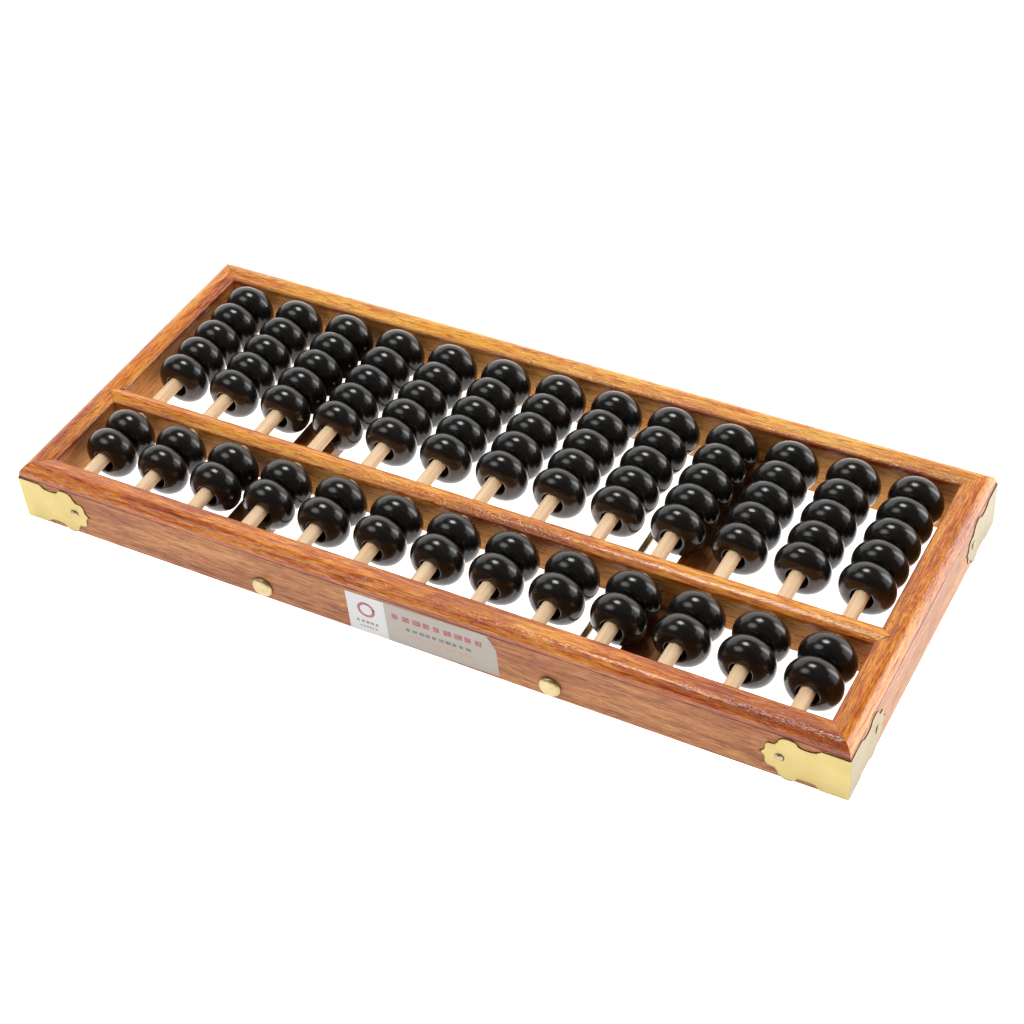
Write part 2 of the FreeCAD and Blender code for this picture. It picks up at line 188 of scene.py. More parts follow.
def revolve(bm, profile, segments, matrix, uv_seed=None):
    """Turn a profile of (along, out) points round the local Z axis. A point with out 0 is a pole."""
    uv_layer = bm.loops.layers.uv.verify() if uv_seed is not None else None
    seed_layer = bm.verts.layers.float.get("seed") if uv_seed is not None else None
    rings = []
    for along, out in profile:
        if out < 1e-7:
            rings.append([bm.verts.new(matrix @ Vector((0, 0, along)))])
            continue
        turn = [2 * math.pi * i / segments for i in range(segments)]
        rings.append([bm.verts.new(matrix @ Vector((out * math.cos(a), out * math.sin(a), along)))
                      for a in turn])
    if seed_layer:
        for ring in rings:
            for vert in ring:
                vert[seed_layer] = uv_seed
    closed = profile[0] == profile[-1]
    if closed:
        for vert in rings.pop():
            bm.verts.remove(vert)
        rings.append(rings[0])
    for j, (lower, upper) in enumerate(zip(rings, rings[1:])):
        for i in range(segments):
            corners = [(lower, i, j), (lower, i + 1, j), (upper, i + 1, j + 1), (upper, i, j + 1)]
            verts = [(ring[k % len(ring)], k, row) for ring, k, row in corners]
            kept = [item for n, item in enumerate(verts) if item[0] not in [v[0] for v in verts[:n]]]
            face = bm.faces.new([vert for vert, _, _ in kept])
            if uv_layer:
                for loop, (_, k, row) in zip(face.loops, kept):
                    loop[uv_layer].uv = (k / segments, row / (len(profile) - 1))


def skin(bm, rings):
    """Faces between each ring of vertices and the next."""
    for ring, following in zip(rings, rings[1:]):
        for i in range(len(ring)):
            k = (i + 1) % len(ring)
            bm.faces.new((ring[i], ring[k], following[k], following[i]))


def cap(bm, rings):
    """A face on the first ring and on the last."""
    for ring in (rings[0], rings[-1]):
        bm.faces.new(ring)


def bar(bm, profile, reach, steps, place, values=None, layers=()):
    """A bar along X with a closed profile of (across, up) points. reach(across, up) is the half length
    of the bar at that point, and place turns a point (x, across, up) into its place. Its ends stay open."""
    rows = []
    for i in range(steps + 1):
        t = 2 * i / steps - 1
        row = []
        for j, (across, up) in enumerate(profile):
            vert = bm.verts.new(place(Vector((t * reach(across, up), across, up))))
            for layer, value in zip(layers, values[j] if values else ()):
                vert[layer] = value
            row.append(vert)
        rows.append(row)
    skin(bm, rows)
    return rows


# --- shader helpers ---

class Graph:
    """Builds nodes in a material's or world's tree."""

    def __init__(self, tree):
        self.nodes, self.links = tree.nodes, tree.links

    def feed(self, node, inputs):
        for name, value in inputs.items():
            socket = node.inputs[name] if isinstance(name, int) else node.inputs[name.replace("_", " ")]
            if isinstance(value, bpy.types.NodeSocket):
                self.links.new(value, socket)
            elif socket.type == "RGBA":
                rgb = (value,) * 3 if isinstance(value, float) else value[:3]
                socket.default_value = (*rgb, 1.0)
            else:
                socket.default_value = value

    def add(self, kind, inputs=None, **settings):
        node = self.nodes.new(kind)
        for name, value in settings.items():
            setattr(node, name, value)
        self.feed(node, inputs or {})
        return node

    def math(self, operation, a, b=0.0):
        return self.add("ShaderNodeMath", {0: a, 1: b}, operation=operation).outputs[0]

    def plus(self, base, value, share):
        """The base and a share of the value."""
        return self.math("ADD", base, self.math("MULTIPLY", value, share))

    def blend(self, a, b, share):
        """The first value, with the second taking a share of its place."""
        return self.plus(self.math("MULTIPLY", a, 1 - share), b, share)


class Shader(Graph):
    """One material. Every method but set returns an output socket."""

    def __init__(self, name, **surface):
        self.material = bpy.data.materials.new(name)
        self.material.use_nodes = True
        super().__init__(self.material.node_tree)
        self.surface = self.nodes["Principled BSDF"]
        self.feed(self.surface, surface)

    def set(self, **inputs):
        self.feed(self.surface, inputs)

    def coordinates(self, kind):
        return self.add("ShaderNodeTexCoord").outputs[kind]

    def value_of(self, name):
        return self.add("ShaderNodeAttribute", attribute_name=name).outputs["Fac"]

    def mapped(self, vector, scale, shift=(0, 0, 0)):
        return self.add("ShaderNodeMapping", {0: vector, 1: shift, 3: scale}).outputs[0]

    def noise(self, vector, detail=3.0, roughness=0.5, distortion=0.0):
        inputs = {"Vector": vector, "Scale": 1.0, "Detail": detail, "Roughness": roughness,
                  "Distortion": distortion}
        return self.add("ShaderNodeTexNoise", inputs).outputs["Fac"]

    def field(self, scale, shift=(0, 0, 0), **settings):
        """Noise over the object, with its own scale along each axis."""
        return self.noise(self.mapped(self.coordinates("Object"), scale, shift), **settings)

    def spots(self, vector):
        inputs = {"Vector": vector, "Scale": 1.0}
        return self.add("ShaderNodeTexVoronoi", inputs).outputs["Distance"]

    def ramp(self, factor, *stops):
        """A colour or grey ramp through (place, value) stops."""
        node = self.add("ShaderNodeValToRGB", {0: factor})
        elements = node.color_ramp.elements
        while len(elements) < len(stops):
            elements.new(0.5)
        for element, (place, value) in zip(elements, stops):
            element.position = place
            grey = isinstance(value, (int, float))
            element.color = (value, value, value, 1.0) if grey else (*value, 1.0)
        return node.outputs[0]

    def mix(self, factor, a, b, blend="MIX"):
        node = self.add("ShaderNodeMix", data_type="RGBA", blend_type=blend)
        for index, value in ((0, factor), (6, a), (7, b)):
            self.feed(node, {index: value})
        return node.outputs[2]

    def bump(self, height, strength, distance, normal=None):
        inputs = {"Height": height, "Strength": strength, "Distance": distance}
        if normal is not None:
            inputs["Normal"] = normal
        return self.add("ShaderNodeBump", inputs).outputs[0]


# --- materials ---

def lacquered_wood(name, along, shift, lightness, sheen, inner=1.0):
    """Reddish hardwood: glossy lacquer on the moulding, satin on the outer face, bare inside.
    along is the axis of the grain, 0 for X or 1 for Y. lightness picks paler or darker boards and
    sheen is how much light the satin face throws back, and inner darkens the inner face as painted shade.
    The vertex values say where the moulding, its darker rims and the inner face are; the rims are darker
    partly as maroon lacquer and partly as painted shade."""
    sh = Shader(name)

    def grain(lengthwise, crosswise, **settings):
        scale = [crosswise] * 3
        scale[along] = lengthwise
        return sh.field(tuple(scale), shift, **settings)

    moulding, rim, inside = (sh.value_of(layer) for layer in WOOD_LAYERS)
    bands = grain(12, 170, detail=4, roughness=0.6, distortion=0.9)
    figure = grain(90, 620, detail=5, roughness=0.75, distortion=0.7)
    streaks = grain(110, 1500, detail=3, roughness=0.7)
    patches = grain(16, 40, detail=2)
    pores = sh.ramp(grain(150, 1900, detail=3, roughness=0.7), (0.55, 0.0), (0.63, 1.0))

    glow = sh.plus(sh.math("MULTIPLY", bands, 0.34), figure, 0.30)
    glow = sh.plus(glow, streaks, 0.36)
    glow = sh.math("ADD", glow, lightness)
    lacquer = sh.ramp(
        glow,
        (0.39, (0.170, 0.020, 0.004)),
        (0.46, (0.400, 0.070, 0.005)),
        (0.51, (0.590, 0.150, 0.008)),
        (0.56, (0.730, 0.250, 0.016)),
        (0.64, (0.880, 0.440, 0.055)),
    )
    satin = sh.ramp(
        glow,
        (0.40, (0.160, 0.050, 0.026)),
        (0.46, (0.320, 0.120, 0.046)),
        (0.53, (0.460, 0.200, 0.070)),
        (0.63, (0.600, 0.310, 0.120)),
    )
    # inner scales the bare inner face darker, as painted shade
    bare = sh.ramp(
        glow,
        (0.38, (0.270 * inner, 0.095 * inner, 0.024 * inner)),
        (0.50, (0.590 * inner, 0.240 * inner, 0.055 * inner)),
        (0.64, (0.830 * inner, 0.410 * inner, 0.110 * inner)),
    )
    colour = sh.mix(moulding, satin, lacquer)
    colour = sh.mix(inside, colour, bare)
    # maroon darkens the rims: partly dark maroon lacquer, partly painted shade in the arris crease, at the
    # foot and under the inner round
    maroon_lacquer_and_shade = sh.mix(figure, (0.16, 0.014, 0.006), (0.36, 0.052, 0.009))
    stain = sh.ramp(grain(11, 70, detail=4, roughness=0.6), (0.52, 0.0), (0.66, 0.65))
    colour = sh.mix(sh.math("MULTIPLY", moulding, stain), colour, (0.24, 0.028, 0.006))
    rim_lacquer_and_shade = sh.math("MULTIPLY", rim, sh.ramp(patches, (0.40, 0.35), (0.60, 1.0)))
    colour = sh.mix(rim_lacquer_and_shade, colour, maroon_lacquer_and_shade)
    colour = sh.mix(sh.math("MULTIPLY", pores, 0.60), colour, (0.110, 0.022, 0.010))

    crackle = grain(300, 560, detail=2, roughness=0.6)
    peel = grain(900, 1500, detail=2, roughness=0.6)
    fibres = grain(70, 2600, detail=3, roughness=0.6)
    crazed = sh.math("MULTIPLY", moulding, sh.ramp(patches, (0.40, 0.25), (0.56, 1.0)))
    normal = sh.bump(crackle, 1.0, sh.plus(0.04 * MM, crazed, 0.44 * MM))
    normal = sh.bump(peel, 1.0, sh.plus(0.02 * MM, crazed, 0.17 * MM), normal)
    normal = sh.bump(fibres, 0.5, 0.03 * MM, normal)
    roughness = sh.mix(moulding, sh.plus(0.44, fibres, 0.20), sh.plus(0.22, streaks, 0.22))
    sh.set(Base_Color=colour, Roughness=roughness, Normal=normal,
           Specular_IOR_Level=sh.mix(moulding, sh.mix(inside, sheen, 0.12), 0.25),
           Coat_Weight=sh.math("MULTIPLY", moulding, 0.6), Coat_Roughness=0.14, Coat_Normal=normal)
    return sh.material


def slat_wood():
    """Stained and varnished board, darker than the frame."""
    sh = Shader("slat_wood", Coat_Weight=0.5, Coat_Roughness=0.15)
    bands = sh.field((240, 14, 240), detail=5, roughness=0.6, distortion=0.5)
    fibres = sh.field((2200, 60, 2200), detail=3)
    colour = sh.ramp(
        sh.blend(bands, fibres, 0.3),
        (0.34, (0.075, 0.024, 0.007)),
        (0.50, (0.235, 0.095, 0.022)),
        (0.68, (0.420, 0.200, 0.055)),
    )
    sh.set(Base_Color=colour, Roughness=sh.plus(0.22, fibres, 0.25),
           Normal=sh.bump(fibres, 0.5, 0.04 * MM))
    return sh.material


def rod_wood():
    """Pale, straight-fibred dowels."""
    sh = Shader("rod_wood")
    fibres = sh.field((1700, 26, 1700), detail=4, roughness=0.65)
    rings = sh.field((520, 9, 520), detail=2)
    vessels = sh.field((3600, 90, 3600), detail=2)
    colour = sh.ramp(
        sh.blend(fibres, rings, 0.4),
        (0.34, (0.700, 0.440, 0.235)),
        (0.50, (0.820, 0.575, 0.340)),
        (0.66, (0.900, 0.700, 0.470)),
    )
    dark = sh.ramp(vessels, (0.62, 0.0), (0.74, 0.45))
    colour = sh.mix(dark, colour, (0.42, 0.20, 0.08))
    sh.set(Base_Color=colour, Roughness=sh.plus(0.45, fibres, 0.2),
           Normal=sh.bump(fibres, 0.6, 0.05 * MM))
    return sh.material


def bead_lacquer():
    """Deep black gloss over turned wood, with faint lathe lines round each bead and a little dust."""
    sh = Shader("bead_lacquer", Specular_IOR_Level=0.10, Coat_Weight=1.0, Coat_Roughness=0.08,
                Coat_IOR=1.42)
    around = sh.coordinates("UV")
    seed = sh.value_of("seed")
    shift = sh.add("ShaderNodeCombineXYZ", {0: seed, 1: seed, 2: seed}).outputs[0]
    own = sh.add("ShaderNodeVectorMath", {0: around, 1: shift}, operation="ADD").outputs[0]
    lines = sh.noise(sh.mapped(own, (3, 120, 1)), detail=3, roughness=0.7)
    faint = sh.noise(sh.mapped(own, (9, 34, 1)), detail=2)
    orange_peel = sh.field((900, 900, 900), detail=2)
    dust = sh.ramp(sh.spots(sh.mapped(sh.coordinates("Object"), (900, 900, 900))), (0.06, 1.0), (0.13, 0.0))
    colour = sh.ramp(faint, (0.3, (0.006, 0.005, 0.004)), (0.7, (0.014, 0.011, 0.009)))
    normal = sh.bump(lines, 0.35, 0.06 * MM)
    normal = sh.bump(orange_peel, 0.10, 0.05 * MM, normal)
    normal = sh.bump(dust, 0.5, 0.02 * MM, normal)
    sh.set(Base_Color=colour, Roughness=sh.plus(0.24, faint, 0.16), Normal=normal, Coat_Normal=normal)
    return sh.material


def brass(name, colour, dark, roughness, brushed, dented):
    """Metal whose tarnish, brushing and small dents vary over the piece."""
    sh = Shader(name, Metallic=1.0)
    tarnish = sh.field((160, 160, 160), detail=5, roughness=0.65)
    brushing = sh.field((150, 150, 2600), detail=3, roughness=0.6)
    grit = sh.field((2600, 2600, 2600), detail=2)
    dents = sh.field((620, 620, 620), detail=2)
    sh.set(
        Base_Color=sh.ramp(sh.blend(tarnish, brushing, 0.25), (0.32, dark), (0.55, colour)),
        Roughness=sh.plus(roughness, brushing, 0.22),
        Normal=sh.bump(grit, 0.25, 0.02 * MM,
                       sh.bump(dents, dented, 0.20 * MM, sh.bump(brushing, brushed, 0.03 * MM))),
    )
    return sh.material


def plate_brass():
    """Smooth satin sheet. Its cut edges are dark, partly dark metal and partly painted gap shadow,
    the rings round the nails are painted shadow round the heads, and the arms on the frame's ends are
    painted paler as painted light from the side."""
    sh = Shader("sheet_brass", Metallic=1.0)
    tarnish = sh.field((90, 90, 90), detail=4, roughness=0.6)
    brushing = sh.field((120, 120, 2800), detail=3, roughness=0.6)
    grit = sh.field((2600, 2600, 2600), detail=2)
    front = sh.ramp(tarnish, (0.35, (0.44, 0.35, 0.140)), (0.60, (0.49, 0.39, 0.165)))
    # end is the colour of the arms on the frame's ends, painted paler as painted light from the side
    end = sh.ramp(tarnish, (0.35, (0.32, 0.270, 0.170)), (0.60, (0.36, 0.300, 0.190)))
    colour = sh.mix(sh.value_of("end"), front, end)
    # line darkens the cut edges, partly dark metal and partly painted gap shadow, and paints shadow in a ring
    # round each nail head
    line = sh.ramp(sh.value_of("edge"), (0.50, 0.0), (0.85, 0.9))
    sh.set(
        Base_Color=sh.mix(line, colour, (0.10, 0.055, 0.025)),
        Roughness=sh.plus(0.40, brushing, 0.16),
        Normal=sh.bump(grit, 0.25, 0.02 * MM, sh.bump(brushing, 0.20, 0.03 * MM)),
    )
    return sh.material


def foil(name, colour, metallic, roughness):
    """Printed label foil with a fine brushed look."""
    sh = Shader(name, Metallic=metallic)
    lines = sh.field((40, 40, 5200), detail=3, roughness=0.7)
    darker = tuple(channel * 0.86 for channel in colour)
    sh.set(Base_Color=sh.ramp(lines, (0.3, darker), (0.7, colour)),
           Roughness=sh.plus(roughness, lines, 0.2),
           Normal=sh.bump(lines, 0.3, 0.01 * MM))
    return sh.material


def ink(name, colour):
    sh = Shader(name, Roughness=0.5)
    wear = sh.field((1500, 1500, 1500), detail=3)
    faded = tuple(0.72 * channel + 0.16 for channel in colour)
    sh.set(Base_Color=sh.ramp(wear, (0.35, colour), (0.75, faded)))
    return sh.material


# --- rails ---

def rail_profile():
    """The rail's outline as (inwards, up) points, and for each its (moulding, rim, inside) values."""
    points, values = [], []

    def run(new, moulding, rim, inside):
        for index, point in enumerate(new):
            share = index / max(1, len(new) - 1)
            points.append(point)
            values.append(tuple(a + (b - a) * share for a, b in (moulding, rim, inside)))

    crown_end = RAIL_WIDTH - INNER_ROUND
    crown_height = RAIL_HEIGHT - CROWN_DROP
    ledge = ARRIS_HEIGHT - ARRIS_LEDGE
    face = [(0, FOOT_ROUND + (ledge - FOOT_ROUND) * i / 14) for i in range(15)]
    # The rim values darken the foot, the arris crease and the lower side of the inner round: partly dark
    # lacquer, partly painted shade.
    run(arc((FOOT_ROUND, FOOT_ROUND), FOOT_ROUND, 270, 190, 4), (0, 0), (0.6, 0.2), (0, 0))
    run(face, (0, 0), (0.1, 0.25), (0, 0))
    run(arc((ARRIS_LEDGE, ledge), ARRIS_LEDGE * 0.8, 160, 95, 3), (0.2, 0.8), (0.6, 1.0), (0, 0))
    round_width = OUTER_ROUND - ARRIS_LEDGE
    turn = [math.radians(180 - 90 * i / 12) for i in range(1, 13)]
    outer = [(OUTER_ROUND + round_width * math.cos(a),
              ARRIS_HEIGHT + (RAIL_HEIGHT - ARRIS_HEIGHT) * math.sin(a)) for a in turn]
    run(outer[:3], (1, 1), (0.9, 0.25), (0, 0))
    run(outer[3:], (1, 1), (0.2, 0.0), (0, 0))
    crown = []
    for i in range(1, 6):
        t = i / 6
        swell = CROWN_SWELL * 4 * t * (1 - t)
        crown.append((OUTER_ROUND + (crown_end - OUTER_ROUND) * t,
                      RAIL_HEIGHT - CROWN_DROP * t + swell * (1 - t)))
    run(crown, (1, 1), (0.0, 0.1), (0, 0))
    centre = (crown_end, crown_height - INNER_ROUND)
    run(arc(centre, INNER_ROUND, 90, 10, 7), (1, 1), (0.1, 1.0), (0, 0.2))
    inner_top = crown_height - INNER_ROUND
    bare_top = inner_top - LACQUER_EDGE
    run([(RAIL_WIDTH, inner_top - LACQUER_EDGE * i / 3) for i in range(1, 4)],
        (0.9, 0.1), (0.9, 0.3), (0.5, 1))
    run([(RAIL_WIDTH, bare_top - (bare_top - FOOT_ROUND) * i / 10) for i in range(1, 11)],
        (0, 0), (0.2, 0.1), (1, 1))
    run(arc((RAIL_WIDTH - FOOT_ROUND, FOOT_ROUND), FOOT_ROUND, -10, -90, 4), (0, 0), (0.1, 0.3), (1, 1))
    return points, values


def hand_work(place, seed):
    """A small push that makes worked wood less than perfectly straight."""
    shifts = [Vector((seed, 11.3 * axis, 0)) for axis in range(3)]
    near = Vector([noise.noise(place * 180 + shift) for shift in shifts])
    far = Vector([noise.noise(place * 30 - shift) for shift in shifts])
    return place + (near * 0.4 + far) * HAND_WORK


def wear(piece, seed):
    """Hand work on a piece of wood that has already been cut, and fresh sharp edges."""
    for vert in piece.data.vertices:
        vert.co = hand_work(vert.co, seed)
    piece.data.shade_smooth()
    piece.data.set_sharp_from_angle(angle=SMOOTH_ANGLE)


def cutter(name, bm):
    bmesh.ops.recalc_face_normals(bm, faces=bm.faces)
    tool = bpy.data.objects.new(name, to_mesh(name, bm))
    bpy.context.scene.collection.objects.link(tool)
    return tool


def add_drill(bm, x, z, radius, low, high):
    """A closed cylinder along Y for drilling."""
    length = high - low
    matrix = Matrix.Translation((x, (low + high) / 2, z)) @ Matrix.Rotation(math.radians(90), 4, "X")
    bmesh.ops.create_cone(bm, cap_ends=True, segments=ROUND_SIDES, radius1=radius, radius2=radius,
                          depth=length, matrix=matrix)


def add_block(bm, low, high):
    size = Vector(high) - Vector(low)
    middle = (Vector(high) + Vector(low)) / 2
    bmesh.ops.create_cube(bm, size=1, matrix=Matrix.Translation(middle) @ Matrix.Diagonal((*size, 1)))


def cut(piece, tool):
    modifier = piece.modifiers.new("cut", "BOOLEAN")
    modifier.operation = "DIFFERENCE"
    modifier.solver = "EXACT"
    modifier.object = tool
    apply_modifiers(piece)
    bpy.data.objects.remove(tool)


def rail(name, half, angle, seed, material, tools):
    """A moulded, mitred rail whose outer face looks to -Y before it is turned about Z.
    half is half its length."""
    points, values = rail_profile()
    outer = HALF_DEPTH if angle in (0, 180) else HALF_LENGTH
    rotation = Matrix.Rotation(math.radians(angle), 4, "Z")
    bm = bmesh.new()
    layers = [bm.verts.layers.float.new(layer) for layer in WOOD_LAYERS]

    def reach(inwards, up):
        return half - inwards - JOINT_GAP

    def place(point):
        x, inwards, up = point
        return rotation @ Vector((x, inwards - outer, up))

    cap(bm, bar(bm, points, reach, round(2 * half / BAR_STEP), place, values, layers))
    piece = from_bmesh(name + "_wood", bm, material)
    cut(piece, tools)
    wear(piece, seed)
    finish_piece(piece, ROOT, "lacquered_wood", name)


def long_rail_tools(side):
    """What is cut out of a long rail: rod sockets, tie rod holes and slat mortises. side is -1 in front."""
    bm = bmesh.new()
    inner = HALF_DEPTH - RAIL_WIDTH
    deep = RODS_HIGH.y + 0.2 * MM
    for x in ROD_PLACES:
        low, high = sorted((side * (inner - OVERCUT), side * deep))
        add_drill(bm, x, ROD_HEIGHT, ROD_RADIUS + ROD_CLEARANCE, low, high)
    for tie in ("left_tie_rod", "right_tie_rod"):
        low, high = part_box(tie)
        ends = sorted((side * (inner - OVERCUT), side * (HALF_DEPTH + OVERCUT)))
        add_drill(bm, (low.x + high.x) / 2, (low.z + high.z) / 2, TIE_RADIUS + ROD_CLEARANCE / 2, *ends)
    for slat in ("left_slat", "right_slat"):
        low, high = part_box(slat)
        ends = sorted((side * (inner - OVERCUT), side * (high.y + 0.1 * MM)))
        play = TENON_PLAY
        add_block(bm, (low.x - play, ends[0], low.z - play), (high.x + play, ends[1], high.z + play))
    return cutter("long_rail_tools", bm)


def beam_mortise(side):
    """The V that an end rail leaves for the divider beam's point."""
    bm = bmesh.new()
    inner = HALF_LENGTH - RAIL_WIDTH
    half = BEAM_WIDTH / 2 + BEAM_PLAY
    near = inner - OVERCUT
    corners = [(near, -half), (inner, -half), (inner + half, 0), (inner, half), (near, half)]
    low, high = BEAM_LOW.z - BEAM_PLAY, RAIL_HEIGHT + OVERCUT
    rings = [[bm.verts.new((side * x, BEAM_CENTRE + y, z)) for x, y in corners] for z in (low, high)]
    cap(bm, rings)
    skin(bm, rings)
    return cutter("beam_mortise", bm)


# --- beam, slats and rods ---

def divider_beam(material):
    """The bar between the decks, rounded on top and pointed at both ends."""
    half = BEAM_WIDTH / 2
    top, shoulder, bottom = BEAM_HIGH.z, BEAM_HIGH.z - 2.0 * MM, BEAM_LOW.z
    rise = top - shoulder
    radius = (half ** 2 + rise ** 2) / (2 * rise)
    swing = math.degrees(math.asin((half - 0.7 * MM) / radius))
    crown = arc((0, top - radius), radius, 90 + swing, 90 - swing, 12)
    edge_up = crown[0][1]
    edge = [(-half, edge_up - 1.1 * MM), (-half + 0.12 * MM, edge_up - 0.55 * MM),
            (-half + 0.35 * MM, edge_up - 0.2 * MM)]
    left = [(-half + 0.3 * MM, bottom), (-half, bottom + 0.3 * MM)]
    left += [(-half, bottom + 0.3 * MM + (edge[0][1] - 1.5 * MM - bottom) * i / 6) for i in range(1, 6)]
    left += edge
    right = [(-across, up) for across, up in reversed(left)]
    points = left + crown + right
    values = []
    for across, up in points:
        above = min(1.0, max(0.0, (up - (edge_up - 2.2 * MM)) / (1.0 * MM)))
        # rim darkens a thin band round the front edge, partly dark lacquer and partly painted shade under the
        # edge
        rim = max(0.0, 1 - abs(up - edge_up + 0.5 * MM) / (0.9 * MM))
        values.append((above, rim * 0.15, 1 - above))
    inner = HALF_LENGTH - RAIL_WIDTH

    def reach(across, up):
        return inner + half - abs(across) - JOINT_GAP

    bm = bmesh.new()
    layers = [bm.verts.layers.float.new(layer) for layer in WOOD_LAYERS]

    def place(point):
        return point + Vector((0, BEAM_CENTRE, 0))

    rows = bar(bm, points, reach, round(2 * inner / BAR_STEP), place, values, layers)
    count = len(points)
    for row, tip in ((rows[0], -1), (rows[-1], 1)):
        middles = []
        for j in range(count // 2):
            a, b = row[j].co, row[count - 1 - j].co
            middle = bm.verts.new((tip * reach(0, 0), (a.y + b.y) / 2, (a.z + b.z) / 2))
            for n, layer in enumerate(layers):
                middle[layer] = values[j][n]
            middles.append(middle)
        for j in range(count // 2 - 1):
            bm.faces.new((row[j], row[j + 1], middles[j + 1], middles[j]))
            bm.faces.new((row[count - 1 - j], middles[j], middles[j + 1], row[count - 2 - j]))
        last = count // 2 - 1
        bm.faces.new((row[last], row[last + 1], row[last + 2], middles[last]))
        bm.faces.new((row[0], middles[0], row[count - 1]))
    piece = from_bmesh("divider_beam_wood", bm, material)
    drills = bmesh.new()
    ends = BEAM_LOW.y - OVERCUT, BEAM_HIGH.y + OVERCUT
    for x in ROD_PLACES:
        add_drill(drills, x, ROD_HEIGHT, ROD_RADIUS + ROD_CLEARANCE, *ends)
    cut(piece, cutter("beam_drills", drills))
    wear(piece, 7)
    finish_piece(piece, ROOT, "lacquered_wood", "divider_beam")


def slat(name, material, seed):
    """A thin board across the underside, with eased edges and a slight cup."""
    low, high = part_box(name)
    width, thickness = high.x - low.x, high.z - low.z
    ease = 0.5 * MM
    half, top = width / 2, thickness
    loop = arc((-half + ease, ease), ease, 270, 180, 3) + arc((-half + ease, top - ease), ease, 180, 90, 3)
    loop += [(-half + width * i / 8, top) for i in range(1, 8)]
    loop += arc((half - ease, top - ease), ease, 90, 0, 3) + arc((half - ease, ease), ease, 0, -90, 3)
    loop += [(half - width * i / 8, 0) for i in range(1, 8)]
    middle = Vector(((low.x + high.x) / 2, 0, low.z))

    def place(point):
        along, across, up = point
        cup = 0.12 * MM * (1 - (across / half) ** 2)
        return hand_work(middle + Vector((-across, along, up - cup)), seed)

    bm = bmesh.new()
    cap(bm, bar(bm, loop, lambda across, up: high.y, 60, place))
    finish_piece(from_bmesh(name + "_board", bm, material), ROOT, "plain_wood", name)


def bead_rods(material):
    """Thirteen dowels, each a little out of true."""
    bm = bmesh.new()
    draw = random.Random(5)
    for x in ROD_PLACES:
        sway = Vector((draw.uniform(-1, 1), 0, draw.uniform(-0.6, 0.0))) * 0.12 * MM
        phase = draw.uniform(0, math.tau)
        steps = 24
        rings = []
        for i in range(steps + 1):
            y = RODS_LOW.y + (RODS_HIGH.y - RODS_LOW.y) * i / steps
            middle = Vector((x, y, ROD_HEIGHT)) + sway * math.sin(math.pi * i / steps)
            ease = 0.25 * MM if i in (0, steps) else 0.0
            ring = []
            for k in range(ROUND_SIDES):
                turn = math.tau * k / ROUND_SIDES
                ripple = 0.03 * MM * (1 + math.sin(3 * turn + phase + 0.2 * i))
                out = ROD_RADIUS - ease - 0.05 * MM - ripple
                ring.append(bm.verts.new(middle + Vector((out * math.cos(turn), 0, out * math.sin(turn)))))
            rings.append(ring)
        skin(bm, rings)
        cap(bm, rings)
    finish_piece(from_bmesh("bead_dowels", bm, material), ROOT, "rod_wood", "bead_rods")


# --- beads ---

def bead_profile(diameter, thickness):
    """A closed outline of (along, out) points: a round tyre with a softened cylindrical hole."""
    tube = thickness / 2
    centre = diameter / 2 - tube
    mouth = centre - BEAD_HOLE / 2
    tyre = [(tube * math.sin(math.radians(a)), centre + tube * math.cos(math.radians(a)))
            for a in range(-90, 91, 6)]
    far_lip = [(tube - mouth + mouth * math.cos(a), centre - mouth * math.sin(a))
               for a in map(math.radians, (25, 50, 70, 90))]
    near_lip = [(-along, out) for along, out in reversed(far_lip)]
    wall = [(far_lip[-1][0] * (1 - 2 * i / 4), BEAD_HOLE / 2) for i in range(1, 4)]
    outline = tyre + far_lip + wall + near_lip
    return outline + outline[:1]


def beads(node, count, material, draw):
    """The bead or beads of one CAD body, each a little tilted and turned in its own way."""
    low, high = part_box(node)
    diameter = high.z - low.z
    middle = (low + high) / 2
    pitch = (high.y - low.y - BEAD_THICKNESS) / (count - 1) if count > 1 else 0.0
    outline = bead_profile(diameter, BEAD_THICKNESS)
    bm = bmesh.new()
    bm.verts.layers.float.new("seed")
    for i in range(count):
        y = low.y + BEAD_THICKNESS / 2 + pitch * i
        tilt = Matrix.Rotation(math.radians(draw.uniform(-BEAD_TILT, BEAD_TILT)), 4, "X")
        yaw = Matrix.Rotation(math.radians(draw.uniform(-BEAD_TILT, BEAD_TILT)), 4, "Z")
        girth = draw.uniform(0.994, 1.0)
        spin = Matrix.Rotation(draw.uniform(0, math.tau), 4, "Z")
        matrix = (Matrix.Translation((middle.x, y, middle.z)) @ yaw @ tilt
                  @ Matrix.Rotation(math.radians(90), 4, "X") @ spin
                  @ Matrix.Diagonal((girth, girth, draw.uniform(0.98, 1.0), 1)))
        revolve(bm, outline, 64, matrix, uv_seed=draw.uniform(0, 50))
    piece = from_bmesh(node + "_turned", bm, material, smooth_angle=math.radians(60))
    finish_piece(piece, node, "black_lacquer", node)


# --- metal parts ---

def dome_profile(radius, rise, skirt):
    """A domed head from its rim to its pole, with a short rolled skirt."""
    ball = (radius ** 2 + rise ** 2) / (2 * rise)
    swing = math.asin(min(1.0, (radius - skirt) / ball))
    profile = [(0, radius - skirt), (skirt * 0.3, radius - skirt * 0.3), (skirt, radius)]
    base = ball * math.cos(swing)
    height = rise - (ball - base) - skirt
    for i in range(9):
        angle = swing * (1 - i / 9)
        profile.append((skirt + height + ball * math.cos(angle) - base, ball * math.sin(angle)))
    profile.append((rise, 0))
    return profile


